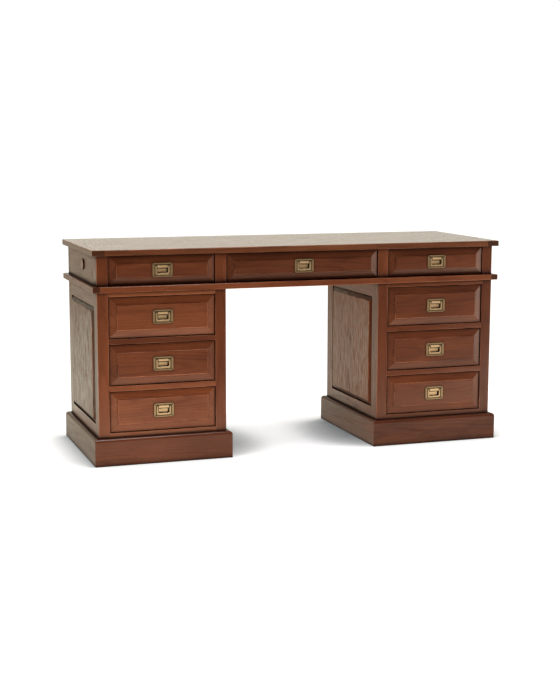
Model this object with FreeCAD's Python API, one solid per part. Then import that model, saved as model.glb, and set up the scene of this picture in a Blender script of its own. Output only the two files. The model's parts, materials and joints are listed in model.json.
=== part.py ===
import FreeCAD, Part
import math
import os

# Pedestal writing desk in three sections: a top with three shallow drawers and two pedestals with three
# drawers each. Millimetres. X runs left to right, the drawer fronts face -Y, Z is up.
# Origin: on the floor, under the middle of the desktop.

# ---- overall sizes ----
DESK_WIDTH = 1595.0
DESK_DEPTH = 570.0
DESK_HEIGHT = 780.0

# ---- top section ----
DESKTOP_THICKNESS = 21.0
DESKTOP_EDGE_CHAMFER = 1.5
DESKTOP_CLAMP = 46.0
FRIEZE_HEIGHT = 110.0
WAIST_THICKNESS = 21.0
WAIST_INSET = 1.0
WAIST_EDGE_CHAMFER = 1.0
WAIST_CLAMP = 26.0
CLAMP_TONGUE = 9.0
CLAMP_TONGUE_THICKNESS = 7.0
CLAMP_TONGUE_STOP = 35.0
TONGUE_PLAY = 0.3
BODY_INSET = 19.0
POST_DEPTH = 60.0
PARTITION_FACE_WIDTH = 42.0
FRIEZE_BOARD = 18.0
JOINT_CHAMFER = 0.8

# ---- round caps on the frieze ends ----
CAP_DIAMETER = 38.0
CAP_PROJECTION = 4.5
CAP_ABOVE_MIDDLE = 5.0
CAP_AHEAD = 27.0

# ---- pedestals ----
PEDESTAL_WIDTH = 477.0
PLINTH_HEIGHT = 100.0
PLINTH_PROJECTION = 19.0
PLINTH_ROUND = 12.0
PLINTH_BOARD = 28.0
CORNER_BLOCK = 55.0
CORNER_BLOCK_HEIGHT = 70.0
FACE_FRAME_THICKNESS = 18.0
FACE_STILE = 40.0
FACE_TOP_RAIL = 17.0
FACE_MIDDLE_RAIL = 20.0
FACE_BOTTOM_RAIL = 18.0
SIDE_FRAME_THICKNESS = 20.0
SIDE_STILE = 40.0
SIDE_TOP_RAIL = 56.0
SIDE_BOTTOM_RAIL = 43.0
TOP_BOARD = 15.0
BOTTOM_BOARD = 18.0

# ---- frame panels ----
PANEL_TONGUE = 7.5
PANEL_TONGUE_THICKNESS = 8.0
PANEL_GROOVE_DEPTH = 8.0
PANEL_RIM_SINK = 6.0
PANEL_BEVEL_WIDTH = 17.0
PANEL_BEVEL_RISE = 9.0
PANEL_COVE = 2.5

# ---- drawer fronts ----
FRONT_GAP = 3.0
FRONT_RIM_THICKNESS = 18.0
FRONT_SETBACK = 3.5
FRONT_RIM_FLAT = 1.5
FRONT_BEVEL_WIDTH = 23.5
FRONT_BEVEL_RISE = 5.5
FRONT_COVE = 3.0

# ---- drawer boxes ----
DRAWER_SIDE = 12.0
DRAWER_BACK = 12.0
DRAWER_BACK_DROP = 6.0
DRAWER_BOTTOM = 6.0
BOTTOM_GROOVE_LIFT = 10.0
SIDE_GROOVE_DEPTH = 6.0
FRONT_GROOVE_DEPTH = 8.0
BOTTOM_PLAY = 0.2
TAIL_LENGTH = 11.0
TAIL_FLARE = 1.8
TAIL_PITCH = 42.0
PIN_NECK = 9.0
SEAT_GAP = 0.3
TOP_GAP = 3.0
GUIDE_PLAY = 0.6
REAR_SPACE = 12.0

# ---- runners ----
RUNNER_REACH = 5.0
GUIDE_HEIGHT = 20.0
GUIDE_START = 5.0
STOP_WIDTH = 14.0
STOP_HEIGHT = 14.0

# ---- flush handles ----
PLATE_WIDTH = 74.0
PLATE_HEIGHT = 50.0
PLATE_THICKNESS = 2.4
PLATE_NOTCH = 3.0
CHANNEL_WIDTH = 54.2
CHANNEL_TOP = 18.0
CHANNEL_BOTTOM = -19.0
CHANNEL_DEPTH = 4.5
LAND_WIDTH = 40.6
CHANNEL_CORNER = 9.0
LAND_BOTTOM = 6.5
PAN_BOTTOM = -17.5
PAN_DEPTH = 10.5
PAN_DRAFT = 1.5
PAN_WALL = 1.4
PAN_SIDE_WALL = 2.4
POCKET_PLAY = 0.3
BAIL_PLAY = 0.8
BAIL_THICKNESS = 3.2
BAIL_SINK = 0.3
BAIL_LIMB = 5.0
BAIL_BAR = 6.5
BAIL_CORNER = 8.5
BAIL_INNER_CORNER = 3.0
BAIL_CORNER_FACETS = 3
BAIL_CUSP_WIDTH = 6.0
BAIL_CUSP_RISE = 2.2
BAIL_EDGE = 0.5
PIVOT_HEIGHT = 12.0
PIVOT_RADIUS = 1.0
PIVOT_CLEARANCE = 0.05
PIVOT_REACH = 1.4

# ---- derived levels and lines ----
OVERCUT = 5.0
ROUND_FACETS = 2
DESKTOP_UNDER = DESK_HEIGHT - DESKTOP_THICKNESS
WAIST_TOP = DESKTOP_UNDER - FRIEZE_HEIGHT
WAIST_UNDER = WAIST_TOP - WAIST_THICKNESS
BODY_HALF_WIDTH = DESK_WIDTH / 2 - BODY_INSET
BODY_HALF_DEPTH = DESK_DEPTH / 2 - BODY_INSET
BODY_HEIGHT = WAIST_UNDER - PLINTH_HEIGHT
PED_OUTER = BODY_HALF_WIDTH
PED_INNER = BODY_HALF_WIDTH - PEDESTAL_WIDTH
OPENING_OUTER = PED_OUTER - FACE_STILE
OPENING_INNER = PED_INNER + FACE_STILE
OPENING_WIDTH = OPENING_OUTER - OPENING_INNER
CENTRE_OPENING_HALF = OPENING_INNER - PARTITION_FACE_WIDTH
FACE_BACK = -BODY_HALF_DEPTH + FACE_FRAME_THICKNESS
BACK_FRAME_FRONT = BODY_HALF_DEPTH - FACE_FRAME_THICKNESS
PED_DRAWER_SPACE = BODY_HEIGHT - FACE_TOP_RAIL - FACE_BOTTOM_RAIL - 2 * FACE_MIDDLE_RAIL
PED_OPENING_HEIGHT = PED_DRAWER_SPACE / 3
FRONT_BACK = -BODY_HALF_DEPTH + FRONT_SETBACK + FRONT_RIM_THICKNESS
FRONT_RISE = FRONT_BEVEL_RISE + FRONT_COVE
FRONT_FIELD = FRONT_BACK - FRONT_RIM_THICKNESS - FRONT_RISE
BOX_END = BACK_FRAME_FRONT - REAR_SPACE
GUIDE_EDGE = FRONT_GAP - GUIDE_PLAY


def vec(x, y, z):
    return FreeCAD.Vector(x, y, z)


def block(x0, x1, y0, y1, z0, z1):
    """Rectangular block between the given limits, in either order."""
    corner = vec(min(x0, x1), min(y0, y1), min(z0, z1))
    return Part.makeBox(abs(x1 - x0), abs(y1 - y0), abs(z1 - z0), corner)


def save(name, solids):
    """Write one node; a list of solids becomes one compound."""
    shape = solids[0] if len(solids) == 1 else Part.makeCompound(solids)
    shape.exportStep("parts/" + name + ".step")


def mirrored(solid):
    return solid.mirror(vec(0, 0, 0), vec(1, 0, 0))


def for_side(side, solids):
    """Pieces are drawn for the right-hand side; side -1 mirrors them to the left."""
    if side > 0:
        return solids
    return [mirrored(s) for s in solids]


def upright_edges(solid, x=None, y=None):
    """Vertical edges of a block that lie on the given x and y lines."""
    found = []
    for edge in solid.Edges:
        box = edge.BoundBox
        if box.ZLength < 1.0 or box.XLength > 0.01 or box.YLength > 0.01:
            continue
        if x is not None and abs(box.XMin - x) > 0.01:
            continue
        if y is not None and abs(box.YMin - y) > 0.01:
            continue
        found.append(edge)
    return found


def level_edges(solid, z):
    """Edges that lie in the horizontal plane z."""
    found = []
    for edge in solid.Edges:
        box = edge.BoundBox
        if abs(box.ZMin - z) < 0.01 and abs(box.ZMax - z) < 0.01:
            found.append(edge)
    return found


def quarter_points(centre, start, end, facets=ROUND_FACETS):
    """Points from start to end round a quarter circle, as a few flats; both lie one radius from centre."""
    points = []
    for step in range(facets + 1):
        angle = math.pi / 2 * step / facets
        points.append(centre + (start - centre) * math.cos(angle) + (end - centre) * math.sin(angle))
    return points


def flat_face(points):
    """Flat face inside a closed run of points."""
    return Part.Face(Part.makePolygon(points + [points[0]]))


# ---- raised and fielded boards ----

def raising_cutter(origin, inward, run, length, rim_flat, bevel_width, bevel_rise, cove):
    """Waste prism along one edge of a board. The field lies at y = origin.y and +Y goes into the board."""
    into = vec(0, 1, 0)

    def at(inset, depth):
        return origin + inward * inset + into * depth

    rim_depth = bevel_rise + cove
    bevel_end = rim_flat + bevel_width
    profile = [
        at(bevel_end + cove, -OVERCUT),
        at(-OVERCUT, -OVERCUT),
        at(-OVERCUT, rim_depth),
        at(rim_flat, rim_depth),
    ]
    profile += quarter_points(at(bevel_end, 0), at(bevel_end, cove), at(bevel_end + cove, 0))
    face = flat_face(profile)
    face.translate(run * (-OVERCUT))
    return face.extrude(run * (length + 2 * OVERCUT))


def fielded_board(width, height, rim_thickness, rim_flat, bevel_width, bevel_rise, cove):
    """Board in the XZ plane, centred on x = 0, foot at z = 0, back at y = 0, field towards -Y.
    Four passes of one cutter leave a mitred bevel and a small cove round the field."""
    face_y = -(rim_thickness + bevel_rise + cove)
    board = block(-width / 2, width / 2, face_y, 0, 0, height)
    passes = [
        (vec(-width / 2, face_y, 0), vec(0, 0, 1), vec(1, 0, 0), width),
        (vec(-width / 2, face_y, height), vec(0, 0, -1), vec(1, 0, 0), width),
        (vec(-width / 2, face_y, 0), vec(1, 0, 0), vec(0, 0, 1), height),
        (vec(width / 2, face_y, 0), vec(-1, 0, 0), vec(0, 0, 1), height),
    ]
    for origin, inward, run, length in passes:
        cutter = raising_cutter(origin, inward, run, length, rim_flat, bevel_width, bevel_rise, cove)
        board = board.cut(cutter)
    return board


def framed_panel(width, height, thickness, stile, top_rail, bottom_rail):
    """Grooved frame with a fielded panel, front face at y = 0, back towards +Y, centred on x = 0.
    Returns the four frame members and the panel."""
    half = width / 2
    groove_y0 = PANEL_RIM_SINK
    groove_y1 = PANEL_RIM_SINK + PANEL_TONGUE_THICKNESS
    inner_half = half - stile
    low = bottom_rail
    high = height - top_rail
    groove = block(-inner_half - PANEL_GROOVE_DEPTH, inner_half + PANEL_GROOVE_DEPTH, groove_y0, groove_y1,
                   low - PANEL_GROOVE_DEPTH, high + PANEL_GROOVE_DEPTH)
    members = [
        block(-half, -inner_half, 0, thickness, 0, height),
        block(inner_half, half, 0, thickness, 0, height),
        block(-inner_half, inner_half, 0, thickness, 0, low),
        block(-inner_half, inner_half, 0, thickness, high, height),
    ]
    members = [m.cut(groove) for m in members]
    panel = fielded_board(2 * (inner_half + PANEL_TONGUE), high - low + 2 * PANEL_TONGUE,
                          PANEL_TONGUE_THICKNESS, PANEL_TONGUE, PANEL_BEVEL_WIDTH, PANEL_BEVEL_RISE,
                          PANEL_COVE)
    panel.translate(vec(0, groove_y1, low - PANEL_TONGUE))
    return members, panel


def placed(solid, x, y, z, turn):
    """Turn about the vertical by an angle in degrees, then move."""
    copy = solid.copy()
    copy.rotate(vec(0, 0, 0), vec(0, 0, 1), turn)
    copy.translate(vec(x, y, z))
    return copy


# ---- top section ----

def clamped(board, clamp_width):
    """Saw a board into its middle and a cross-grained clamp at each end, held by stopped tongues."""
    box = board.BoundBox
    seam = box.XMax - clamp_width
    reach_y = box.YMax + OVERCUT
    tongue_y = box.YMax - CLAMP_TONGUE_STOP
    middle_z = (box.ZMin + box.ZMax) / 2
    tongue_half = CLAMP_TONGUE_THICKNESS / 2
    beyond = box.XMax + OVERCUT
    clamp = board.common(block(seam, beyond, -reach_y, reach_y, box.ZMin, box.ZMax))
    groove = block(seam, seam + CLAMP_TONGUE, -tongue_y, tongue_y, middle_z - tongue_half,
                   middle_z + tongue_half)
    clamp = clamp.cut(groove)
    tongue_end = seam + CLAMP_TONGUE - TONGUE_PLAY
    tongue_edge = tongue_y - TONGUE_PLAY
    tongues = block(-tongue_end, tongue_end, -tongue_edge, tongue_edge, middle_z - tongue_half,
                    middle_z + tongue_half)
    middle = board.common(block(-seam, seam, -reach_y, reach_y, box.ZMin, box.ZMax))
    middle = middle.fuse(tongues).removeSplitter()
    return [middle, clamp, mirrored(clamp)]


def make_desktop():
    hx = DESK_WIDTH / 2
    hy = DESK_DEPTH / 2
    slab = block(-hx, hx, -hy, hy, DESKTOP_UNDER, DESK_HEIGHT)
    slab = slab.makeChamfer(DESKTOP_EDGE_CHAMFER, level_edges(slab, DESK_HEIGHT))
    return clamped(slab, DESKTOP_CLAMP)


def make_waist_board():
    hx = DESK_WIDTH / 2 - WAIST_INSET
    hy = DESK_DEPTH / 2 - WAIST_INSET
    board = block(-hx, hx, -hy, hy, WAIST_UNDER, WAIST_TOP)
    edges = level_edges(board, WAIST_TOP) + level_edges(board, WAIST_UNDER)
    return clamped(board.makeChamfer(WAIST_EDGE_CHAMFER, edges), WAIST_CLAMP)


def make_frieze_post():
    """Right-hand front corner post; its joint with the end board is a small V-groove."""
    front = -BODY_HALF_DEPTH
    back = front + POST_DEPTH
    post = block(OPENING_OUTER, BODY_HALF_WIDTH, front, back, WAIST_TOP, DESKTOP_UNDER)
    return post.makeChamfer(JOINT_CHAMFER, upright_edges(post, BODY_HALF_WIDTH, back))


def make_frieze_end():
    front = -BODY_HALF_DEPTH + POST_DEPTH
    back = BODY_HALF_DEPTH - FRIEZE_BOARD
    board = block(BODY_HALF_WIDTH - FRIEZE_BOARD, BODY_HALF_WIDTH, front, back, WAIST_TOP, DESKTOP_UNDER)
    edges = upright_edges(board, BODY_HALF_WIDTH, front) + upright_edges(board, BODY_HALF_WIDTH, back)
    return board.makeChamfer(JOINT_CHAMFER, edges)


def make_frieze_back():
    front = BODY_HALF_DEPTH - FRIEZE_BOARD
    hx = BODY_HALF_WIDTH
    board = block(-hx, hx, front, BODY_HALF_DEPTH, WAIST_TOP, DESKTOP_UNDER)
    edges = upright_edges(board, hx, front) + upright_edges(board, -hx, front)
    return board.makeChamfer(JOINT_CHAMFER, edges)


def make_frieze_partition():
    """Right-hand partition: a front stile and the board behind it."""
    middle = (CENTRE_OPENING_HALF + OPENING_INNER) / 2
    stile = block(CENTRE_OPENING_HALF, OPENING_INNER, -BODY_HALF_DEPTH, FACE_BACK, WAIST_TOP, DESKTOP_UNDER)
    board = block(middle - FRIEZE_BOARD / 2, middle + FRIEZE_BOARD / 2, FACE_BACK,
                  BODY_HALF_DEPTH - FRIEZE_BOARD, WAIST_TOP, DESKTOP_UNDER)
    return [stile, board]


def make_frieze_guides():
    """Right-hand guides beside the frieze drawers and the stops behind them."""
    middle = (CENTRE_OPENING_HALF + OPENING_INNER) / 2
    board_half = FRIEZE_BOARD / 2
    start = FRONT_BACK + GUIDE_START
    post_back = -BODY_HALF_DEPTH + POST_DEPTH
    end = BODY_HALF_DEPTH - FRIEZE_BOARD
    z0 = WAIST_TOP
    z1 = WAIST_TOP + GUIDE_HEIGHT
    stop_front = BOX_END + SEAT_GAP
    stop_top = WAIST_TOP + STOP_HEIGHT
    side_faces = [OPENING_INNER + FRONT_GAP, OPENING_OUTER - FRONT_GAP - STOP_WIDTH,
                  CENTRE_OPENING_HALF - FRONT_GAP - STOP_WIDTH]
    pieces = [
        block(OPENING_OUTER - GUIDE_EDGE, BODY_HALF_WIDTH - FRIEZE_BOARD, post_back, end, z0, z1),
        block(middle + board_half, OPENING_INNER + GUIDE_EDGE, start, end, z0, z1),
        block(CENTRE_OPENING_HALF - GUIDE_EDGE, middle - board_half, start, end, z0, z1),
    ]
    for x in side_faces:
        pieces.append(block(x, x + STOP_WIDTH, stop_front, end, z0, stop_top))
    return pieces


def make_end_cap():
    """Turned round cap on the right-hand frieze end."""
    middle_z = (WAIST_TOP + DESKTOP_UNDER) / 2 + CAP_ABOVE_MIDDLE
    return Part.makeCylinder(CAP_DIAMETER / 2, CAP_PROJECTION, vec(BODY_HALF_WIDTH, -CAP_AHEAD, middle_z),
                             vec(1, 0, 0))


# ---- pedestals (drawn on the right) ----

def opening_floor(level):
    """Floor of a pedestal drawer opening: level 0 is the lowest, 2 the highest."""
    pitch = PED_OPENING_HEIGHT + FACE_MIDDLE_RAIL
    return PLINTH_HEIGHT + FACE_BOTTOM_RAIL + level * pitch


def make_face_frame():
    y0 = -BODY_HALF_DEPTH
    y1 = FACE_BACK
    outer = block(OPENING_OUTER, PED_OUTER, y0, y1, PLINTH_HEIGHT, WAIST_UNDER)
    inner = block(PED_INNER, OPENING_INNER, y0, y1, PLINTH_HEIGHT, WAIST_UNDER)
    outer = outer.makeChamfer(JOINT_CHAMFER, upright_edges(outer, PED_OUTER, y1))
    inner = inner.makeChamfer(JOINT_CHAMFER, upright_edges(inner, PED_INNER, y1))
    members = [outer, inner]
    members.append(block(OPENING_INNER, OPENING_OUTER, y0, y1, PLINTH_HEIGHT, opening_floor(0)))
    for level in (1, 2):
        z1 = opening_floor(level)
        members.append(block(OPENING_INNER, OPENING_OUTER, y0, y1, z1 - FACE_MIDDLE_RAIL, z1))
    members.append(block(OPENING_INNER, OPENING_OUTER, y0, y1, WAIST_UNDER - FACE_TOP_RAIL, WAIST_UNDER))
    return members


def make_side_frames():
    """Frames and panels of the outer and the inner side, facing away from the pedestal."""
    width = BACK_FRAME_FRONT - FACE_BACK
    members, panel = framed_panel(width, BODY_HEIGHT, SIDE_FRAME_THICKNESS, SIDE_STILE, SIDE_TOP_RAIL,
                                  SIDE_BOTTOM_RAIL)
    frames = []
    panels = []
    for x, turn in ((PED_OUTER, 90), (PED_INNER, -90)):
        for member in members:
            frames.append(placed(member, x, 0, PLINTH_HEIGHT, turn))
        panels.append(placed(panel, x, 0, PLINTH_HEIGHT, turn))
    return frames, panels


def make_back_frame():
    """Frame and panel of the pedestal back; its stiles cover the side frames' edges."""
    stile = SIDE_STILE + FACE_FRAME_THICKNESS
    members, panel = framed_panel(PEDESTAL_WIDTH, BODY_HEIGHT, FACE_FRAME_THICKNESS, stile, SIDE_TOP_RAIL,
                                  SIDE_BOTTOM_RAIL)
    x = (PED_OUTER + PED_INNER) / 2
    frame = [placed(m, x, BODY_HALF_DEPTH, PLINTH_HEIGHT, 180) for m in members]
    return frame, placed(panel, x, BODY_HALF_DEPTH, PLINTH_HEIGHT, 180)


def make_carcass_boards():
    x0 = PED_INNER + SIDE_FRAME_THICKNESS
    x1 = PED_OUTER - SIDE_FRAME_THICKNESS
    return [
        block(x0, x1, FACE_BACK, BACK_FRAME_FRONT, PLINTH_HEIGHT, PLINTH_HEIGHT + BOTTOM_BOARD),
        block(x0, x1, FACE_BACK, BACK_FRAME_FRONT, WAIST_UNDER - TOP_BOARD, WAIST_UNDER),
    ]


def make_runners():
    """Runners under the upper two drawers, guides beside all three and stops behind them."""
    pieces = []
    sides = (
        (PED_INNER + SIDE_FRAME_THICKNESS, OPENING_INNER, 1),
        (PED_OUTER - SIDE_FRAME_THICKNESS, OPENING_OUTER, -1),
    )
    reach = FRONT_GAP + DRAWER_SIDE + RUNNER_REACH
    for level in (0, 1, 2):
        z = opening_floor(level)
        for wall, opening, inward in sides:
            if level > 0:
                pieces.append(block(wall, opening + inward * reach, FACE_BACK, BACK_FRAME_FRONT,
                                    z - FACE_MIDDLE_RAIL, z))
            pieces.append(block(wall, opening + inward * GUIDE_EDGE, FRONT_BACK + GUIDE_START,
                                BACK_FRAME_FRONT, z, z + GUIDE_HEIGHT))
            stop_x = opening + inward * FRONT_GAP
            pieces.append(block(stop_x, stop_x + inward * STOP_WIDTH, BOX_END + SEAT_GAP, BACK_FRAME_FRONT,
                                z, z + STOP_HEIGHT))
    return pieces


def make_plinth():
    """Four mitred boards with a quarter-round top edge, and a block glued in each corner."""
    x0 = PED_INNER - PLINTH_PROJECTION
    x1 = PED_OUTER + PLINTH_PROJECTION
    hy = BODY_HALF_DEPTH + PLINTH_PROJECTION
    solid = block(x0, x1, -hy, hy, 0, PLINTH_HEIGHT)
    solid = solid.makeFillet(PLINTH_ROUND, level_edges(solid, PLINTH_HEIGHT))
    ix0 = x0 + PLINTH_BOARD
    ix1 = x1 - PLINTH_BOARD
    iy = hy - PLINTH_BOARD
    ring = solid.cut(block(ix0, ix1, -iy, iy, -OVERCUT, PLINTH_HEIGHT + OVERCUT))
    outer = [vec(x0, -hy, 0), vec(x1, -hy, 0), vec(x1, hy, 0), vec(x0, hy, 0)]
    inner = [vec(ix0, -iy, 0), vec(ix1, -iy, 0), vec(ix1, iy, 0), vec(ix0, iy, 0)]
    boards = []
    for i in range(4):
        j = (i + 1) % 4
        plan = Part.Face(Part.makePolygon([outer[i], outer[j], inner[j], inner[i], outer[i]]))
        boards += ring.common(plan.extrude(vec(0, 0, PLINTH_HEIGHT))).Solids
    base = PLINTH_HEIGHT - CORNER_BLOCK_HEIGHT
    for corner, along_x, along_y in zip(inner, (1, -1, -1, 1), (1, 1, -1, -1)):
        tip_x = corner + vec(along_x * CORNER_BLOCK, 0, 0)
        tip_y = corner + vec(0, along_y * CORNER_BLOCK, 0)
        glue_block = Part.Face(Part.makePolygon([corner, tip_x, tip_y, corner])).extrude(
            vec(0, 0, CORNER_BLOCK_HEIGHT))
        glue_block.translate(vec(0, 0, base))
        boards.append(glue_block)
    return boards


# ---- drawers (drawn with the opening's floor at z = 0, centred on x = 0) ----

def tail_edges(front_low, front_high):
    """Heights of each dovetail at its neck, evenly shared over the height of the front."""
    span = front_high - front_low
    count = max(2, round((span - PIN_NECK) / TAIL_PITCH))
    pitch = (span - PIN_NECK) / count
    tails = []
    for i in range(count):
        low = front_low + PIN_NECK + i * pitch
        tails.append((low, low + pitch - PIN_NECK))
    return tails


def make_drawer_side(front_low, front_high, side_low, side_high):
    """Left side of a drawer box: dovetails at the front, groove for the bottom inside."""
    neck = FRONT_BACK
    tip = FRONT_BACK - TAIL_LENGTH
    points = [vec(0, BOX_END, side_low), vec(0, neck, side_low)]
    for low, high in tail_edges(front_low, front_high):
        points += [vec(0, neck, low), vec(0, tip, low - TAIL_FLARE), vec(0, tip, high + TAIL_FLARE),
                   vec(0, neck, high)]
    points += [vec(0, neck, side_high), vec(0, BOX_END, side_high)]
    points.append(points[0])
    side = Part.Face(Part.makePolygon(points)).extrude(vec(DRAWER_SIDE, 0, 0))
    groove_z = side_low + BOTTOM_GROOVE_LIFT
    groove = block(DRAWER_SIDE - SIDE_GROOVE_DEPTH, DRAWER_SIDE + OVERCUT, neck - OVERCUT, BOX_END + OVERCUT,
                   groove_z, groove_z + DRAWER_BOTTOM)
    tails_keep = block(0, DRAWER_SIDE, tip - OVERCUT, neck, side_low, side_high)
    return side.cut(groove.cut(tails_keep))


def make_drawer(opening_width, opening_height):
    """Front and box of a drawer for one opening."""
    front_width = opening_width - 2 * FRONT_GAP
    front_low = FRONT_GAP
    front_high = opening_height - FRONT_GAP
    side_low = SEAT_GAP
    side_high = opening_height - TOP_GAP
    front = fielded_board(front_width, front_high - front_low, FRONT_RIM_THICKNESS, FRONT_RIM_FLAT,
                          FRONT_BEVEL_WIDTH, FRONT_BEVEL_RISE, FRONT_COVE)
    front.translate(vec(0, FRONT_BACK, front_low))
    left = make_drawer_side(front_low, front_high, side_low, side_high)
    left.translate(vec(-front_width / 2, 0, 0))
    right = mirrored(left)
    inner_half = front_width / 2 - DRAWER_SIDE
    bottom_low = side_low + BOTTOM_GROOVE_LIFT
    bottom_high = bottom_low + DRAWER_BOTTOM
    bottom_half = inner_half + SIDE_GROOVE_DEPTH - BOTTOM_PLAY
    bottom = block(-bottom_half, bottom_half, FRONT_BACK, BOX_END, bottom_low, bottom_high)
    bottom_tongue = block(-inner_half, inner_half, FRONT_BACK - FRONT_GROOVE_DEPTH + BOTTOM_PLAY, FRONT_BACK,
                          bottom_low, bottom_high)
    bottom = bottom.fuse(bottom_tongue).removeSplitter()
    back = block(-inner_half, inner_half, BOX_END - DRAWER_BACK, BOX_END, bottom_high,
                 side_high - DRAWER_BACK_DROP)
    front_groove = block(-inner_half, inner_half, FRONT_BACK - FRONT_GROOVE_DEPTH, FRONT_BACK + OVERCUT,
                         bottom_low, bottom_high)
    middle = (front_low + front_high) / 2
    front = front.cut(left).cut(right).cut(front_groove).cut(handle_pocket(middle))
    return front, [left, right, bottom, back]


# ---- flush handle (drawn with the wood surface at y = 0 and the plate centre at z = 0) ----

CHANNEL_HALF = CHANNEL_WIDTH / 2
BODY_HALF = CHANNEL_HALF + PAN_SIDE_WALL
PAN_FLOOR = PAN_DEPTH - PLATE_THICKNESS
CHANNEL_FLOOR = CHANNEL_DEPTH - PLATE_THICKNESS
LAND_HALF = LAND_WIDTH / 2
PIVOT_Y = BAIL_SINK + BAIL_THICKNESS / 2 - PLATE_THICKNESS


def handle_pocket(middle):
    """Recess for the handle body in the field of a drawer front."""
    play = POCKET_PLAY
    pocket = block(-BODY_HALF - play, BODY_HALF + play, -OVERCUT, PAN_FLOOR + PAN_WALL + play,
                   CHANNEL_BOTTOM - PAN_WALL - play, CHANNEL_TOP + PAN_WALL + play)
    pocket.translate(vec(0, FRONT_FIELD, middle))
    return pocket


def notched_outline(width, height, notch):
    """Rectangle with a small hollow in each corner, in the XZ plane."""
    points = []
    for x, z in ((width / 2, height / 2), (-width / 2, height / 2), (-width / 2, -height / 2),
                 (width / 2, -height / 2)):
        corner = vec(x, 0, z)
        on_side = corner - vec(0, 0, math.copysign(notch, z))
        on_top = corner - vec(math.copysign(notch, x), 0, 0)
        if x * z > 0:
            points += quarter_points(corner, on_side, on_top)
        else:
            points += quarter_points(corner, on_top, on_side)
    return flat_face(points)


def u_outline(half, top, bottom, corner):
    """Closed outline in the XZ plane from the top left down and round to the top right."""
    points = [vec(-half, 0, top)]
    points += quarter_points(vec(-half + corner, 0, bottom + corner), vec(-half, 0, bottom + corner),
                             vec(-half + corner, 0, bottom), BAIL_CORNER_FACETS)
    points += quarter_points(vec(half - corner, 0, bottom + corner), vec(half - corner, 0, bottom),
                             vec(half, 0, bottom + corner), BAIL_CORNER_FACETS)
    points.append(vec(half, 0, top))
    return points


def make_plate():
    """Cast plate: flange, U-shaped bail channel round a raised land, and a drafted finger pan."""
    face = -PLATE_THICKNESS
    flange = notched_outline(PLATE_WIDTH, PLATE_HEIGHT, PLATE_NOTCH).extrude(vec(0, face, 0))
    body = block(-BODY_HALF, BODY_HALF, 0, PAN_FLOOR + PAN_WALL, CHANNEL_BOTTOM - PAN_WALL,
                 CHANNEL_TOP + PAN_WALL)
    plate = flange.fuse(body)
    channel = u_outline(CHANNEL_HALF, CHANNEL_TOP, CHANNEL_BOTTOM, CHANNEL_CORNER)
    channel = flat_face(channel).extrude(vec(0, CHANNEL_FLOOR - face + OVERCUT, 0))
    channel.translate(vec(0, face - OVERCUT, 0))
    land = block(-LAND_HALF, LAND_HALF, face, CHANNEL_FLOOR, LAND_BOTTOM, CHANNEL_TOP)
    floor_half = LAND_HALF - PAN_DRAFT
    pan = Part.makeWedge(-LAND_HALF, face, PAN_BOTTOM, PAN_BOTTOM + PAN_DRAFT, -floor_half,
                         LAND_HALF, PAN_FLOOR, LAND_BOTTOM, LAND_BOTTOM - PAN_DRAFT, floor_half)
    plate = plate.cut(channel.cut(land)).cut(pan)
    hole_length = PIVOT_REACH + BAIL_PLAY
    for x in (-CHANNEL_HALF - hole_length, CHANNEL_HALF - BAIL_PLAY):
        hole = Part.makeCylinder(PIVOT_RADIUS + PIVOT_CLEARANCE, hole_length + BAIL_PLAY,
                                 vec(x, PIVOT_Y, PIVOT_HEIGHT), vec(1, 0, 0))
        plate = plate.cut(hole)
    return plate.removeSplitter()


def make_bail():
    """U bail with a small cusp on its bar, hanging from a pivot pin on each limb."""
    half = CHANNEL_HALF - BAIL_PLAY
    inner = half - BAIL_LIMB
    low = CHANNEL_BOTTOM + BAIL_PLAY
    bar_top = low + BAIL_BAR
    limb_top = PIVOT_HEIGHT + BAIL_THICKNESS / 2
    r = BAIL_INNER_CORNER
    cusp = BAIL_CUSP_WIDTH / 2

    def at(x, z):
        return vec(x, 0, z)

    outline = u_outline(half, limb_top, low, BAIL_CORNER)
    outline.append(at(inner, limb_top))
    outline += [at(inner, bar_top + r), at(inner - r, bar_top), at(cusp, bar_top),
                at(0, bar_top + BAIL_CUSP_RISE), at(-cusp, bar_top), at(r - inner, bar_top),
                at(-inner, bar_top + r), at(-inner, limb_top)]
    bail = flat_face(outline).extrude(vec(0, BAIL_THICKNESS, 0))
    eased = [e for e in bail.Edges if e.BoundBox.YMax < BAIL_EDGE]
    bail = bail.makeChamfer(BAIL_EDGE, eased)
    bail.translate(vec(0, BAIL_SINK - PLATE_THICKNESS, 0))
    pin_length = PIVOT_REACH + BAIL_PLAY / 2
    for x in (-half - pin_length, half):
        bail = bail.fuse(Part.makeCylinder(PIVOT_RADIUS, pin_length, vec(x, PIVOT_Y, PIVOT_HEIGHT),
                                           vec(1, 0, 0)))
    return bail.removeSplitter()


# ---- build ----

def build_top_section():
    post = make_frieze_post()
    end = make_frieze_end()
    cap = make_end_cap()
    save("desktop", make_desktop())
    save("waist_board", make_waist_board())
    save("frieze_posts", [post, mirrored(post)])
    save("frieze_ends", [end, mirrored(end)])
    save("frieze_back", [make_frieze_back()])
    partition = make_frieze_partition()
    save("frieze_partitions", partition + [mirrored(p) for p in partition])
    guides = make_frieze_guides()
    save("frieze_guides", guides + [mirrored(g) for g in guides])
    save("end_caps", [cap, mirrored(cap)])


def build_pedestals():
    frames, panels = make_side_frames()
    back_frame, back_panel = make_back_frame()
    nodes = {
        "face_frame": make_face_frame(),
        "side_frames": frames,
        "side_panels": panels,
        "back_frame": back_frame,
        "back_panel": [back_panel],
        "carcass_boards": make_carcass_boards(),
        "runners": make_runners(),
        "plinth": make_plinth(),
    }
    for label, side in (("left", -1), ("right", 1)):
        for name, solids in nodes.items():
            save(label + "_" + name, for_side(side, solids))


def moved(solids, x, y, z):
    return [placed(s, x, y, z, 0) for s in solids]


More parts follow.
